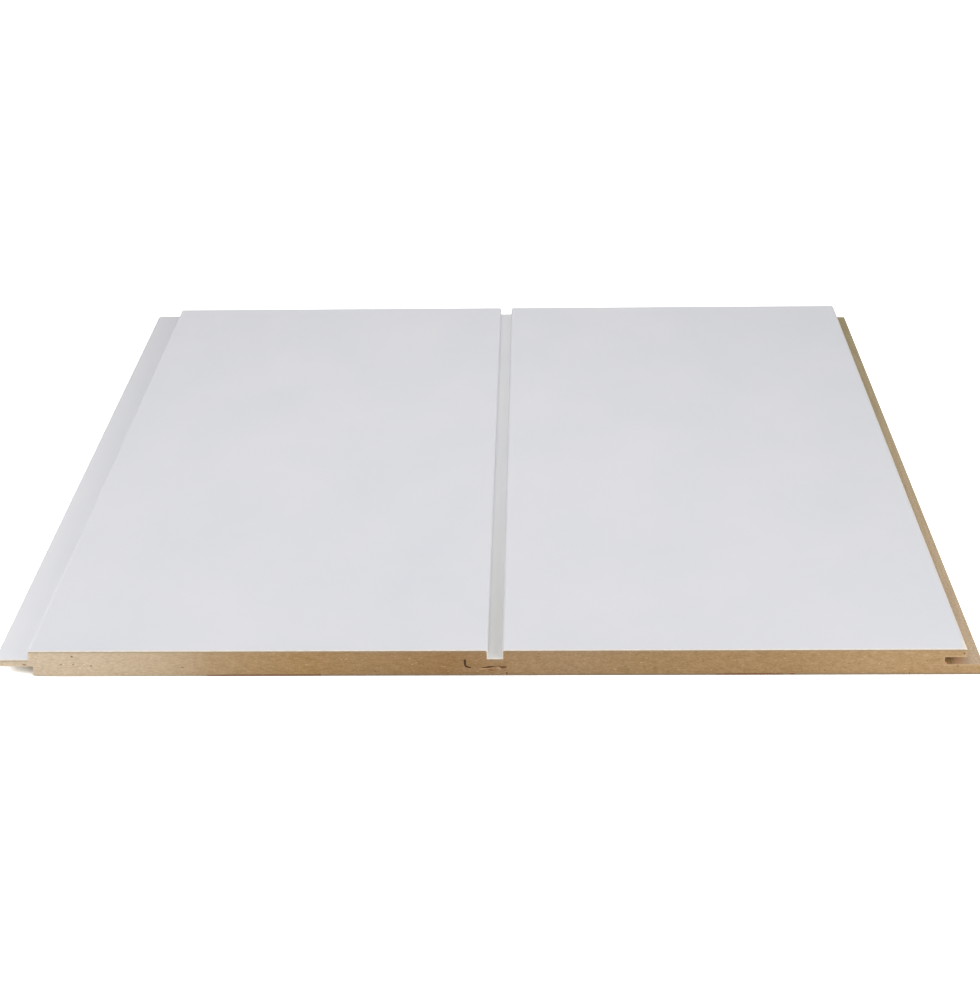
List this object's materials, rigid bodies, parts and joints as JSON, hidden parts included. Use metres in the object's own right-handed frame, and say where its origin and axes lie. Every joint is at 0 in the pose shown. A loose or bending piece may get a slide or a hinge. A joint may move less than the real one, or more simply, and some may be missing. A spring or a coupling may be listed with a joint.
{
  "type": "mdf wall panel",
  "caption": "White-painted MDF wall panel with a centre groove, a tongue on one long edge and a slot with a longer nailing lip on the other.",
  "frame": {"origin": "middle of the panel's footprint, tongue and lip included, on its back face", "axes": "+X across the panel from the tongue edge to the slot edge, +Y along the panel's length, +Z from the back to the painted face"},
  "size_m": [0.405, 0.4, 0.012],
  "materials": {
    "painted_mdf": "factory-primed matt white face, groove, arrises and top of the tongue; bare fibreboard on the back, the sawn ends, the slot and the nailing lip"
  },
  "bodies": {
    "root": {"panel": "painted_mdf"}
  },
  "joints": []
}
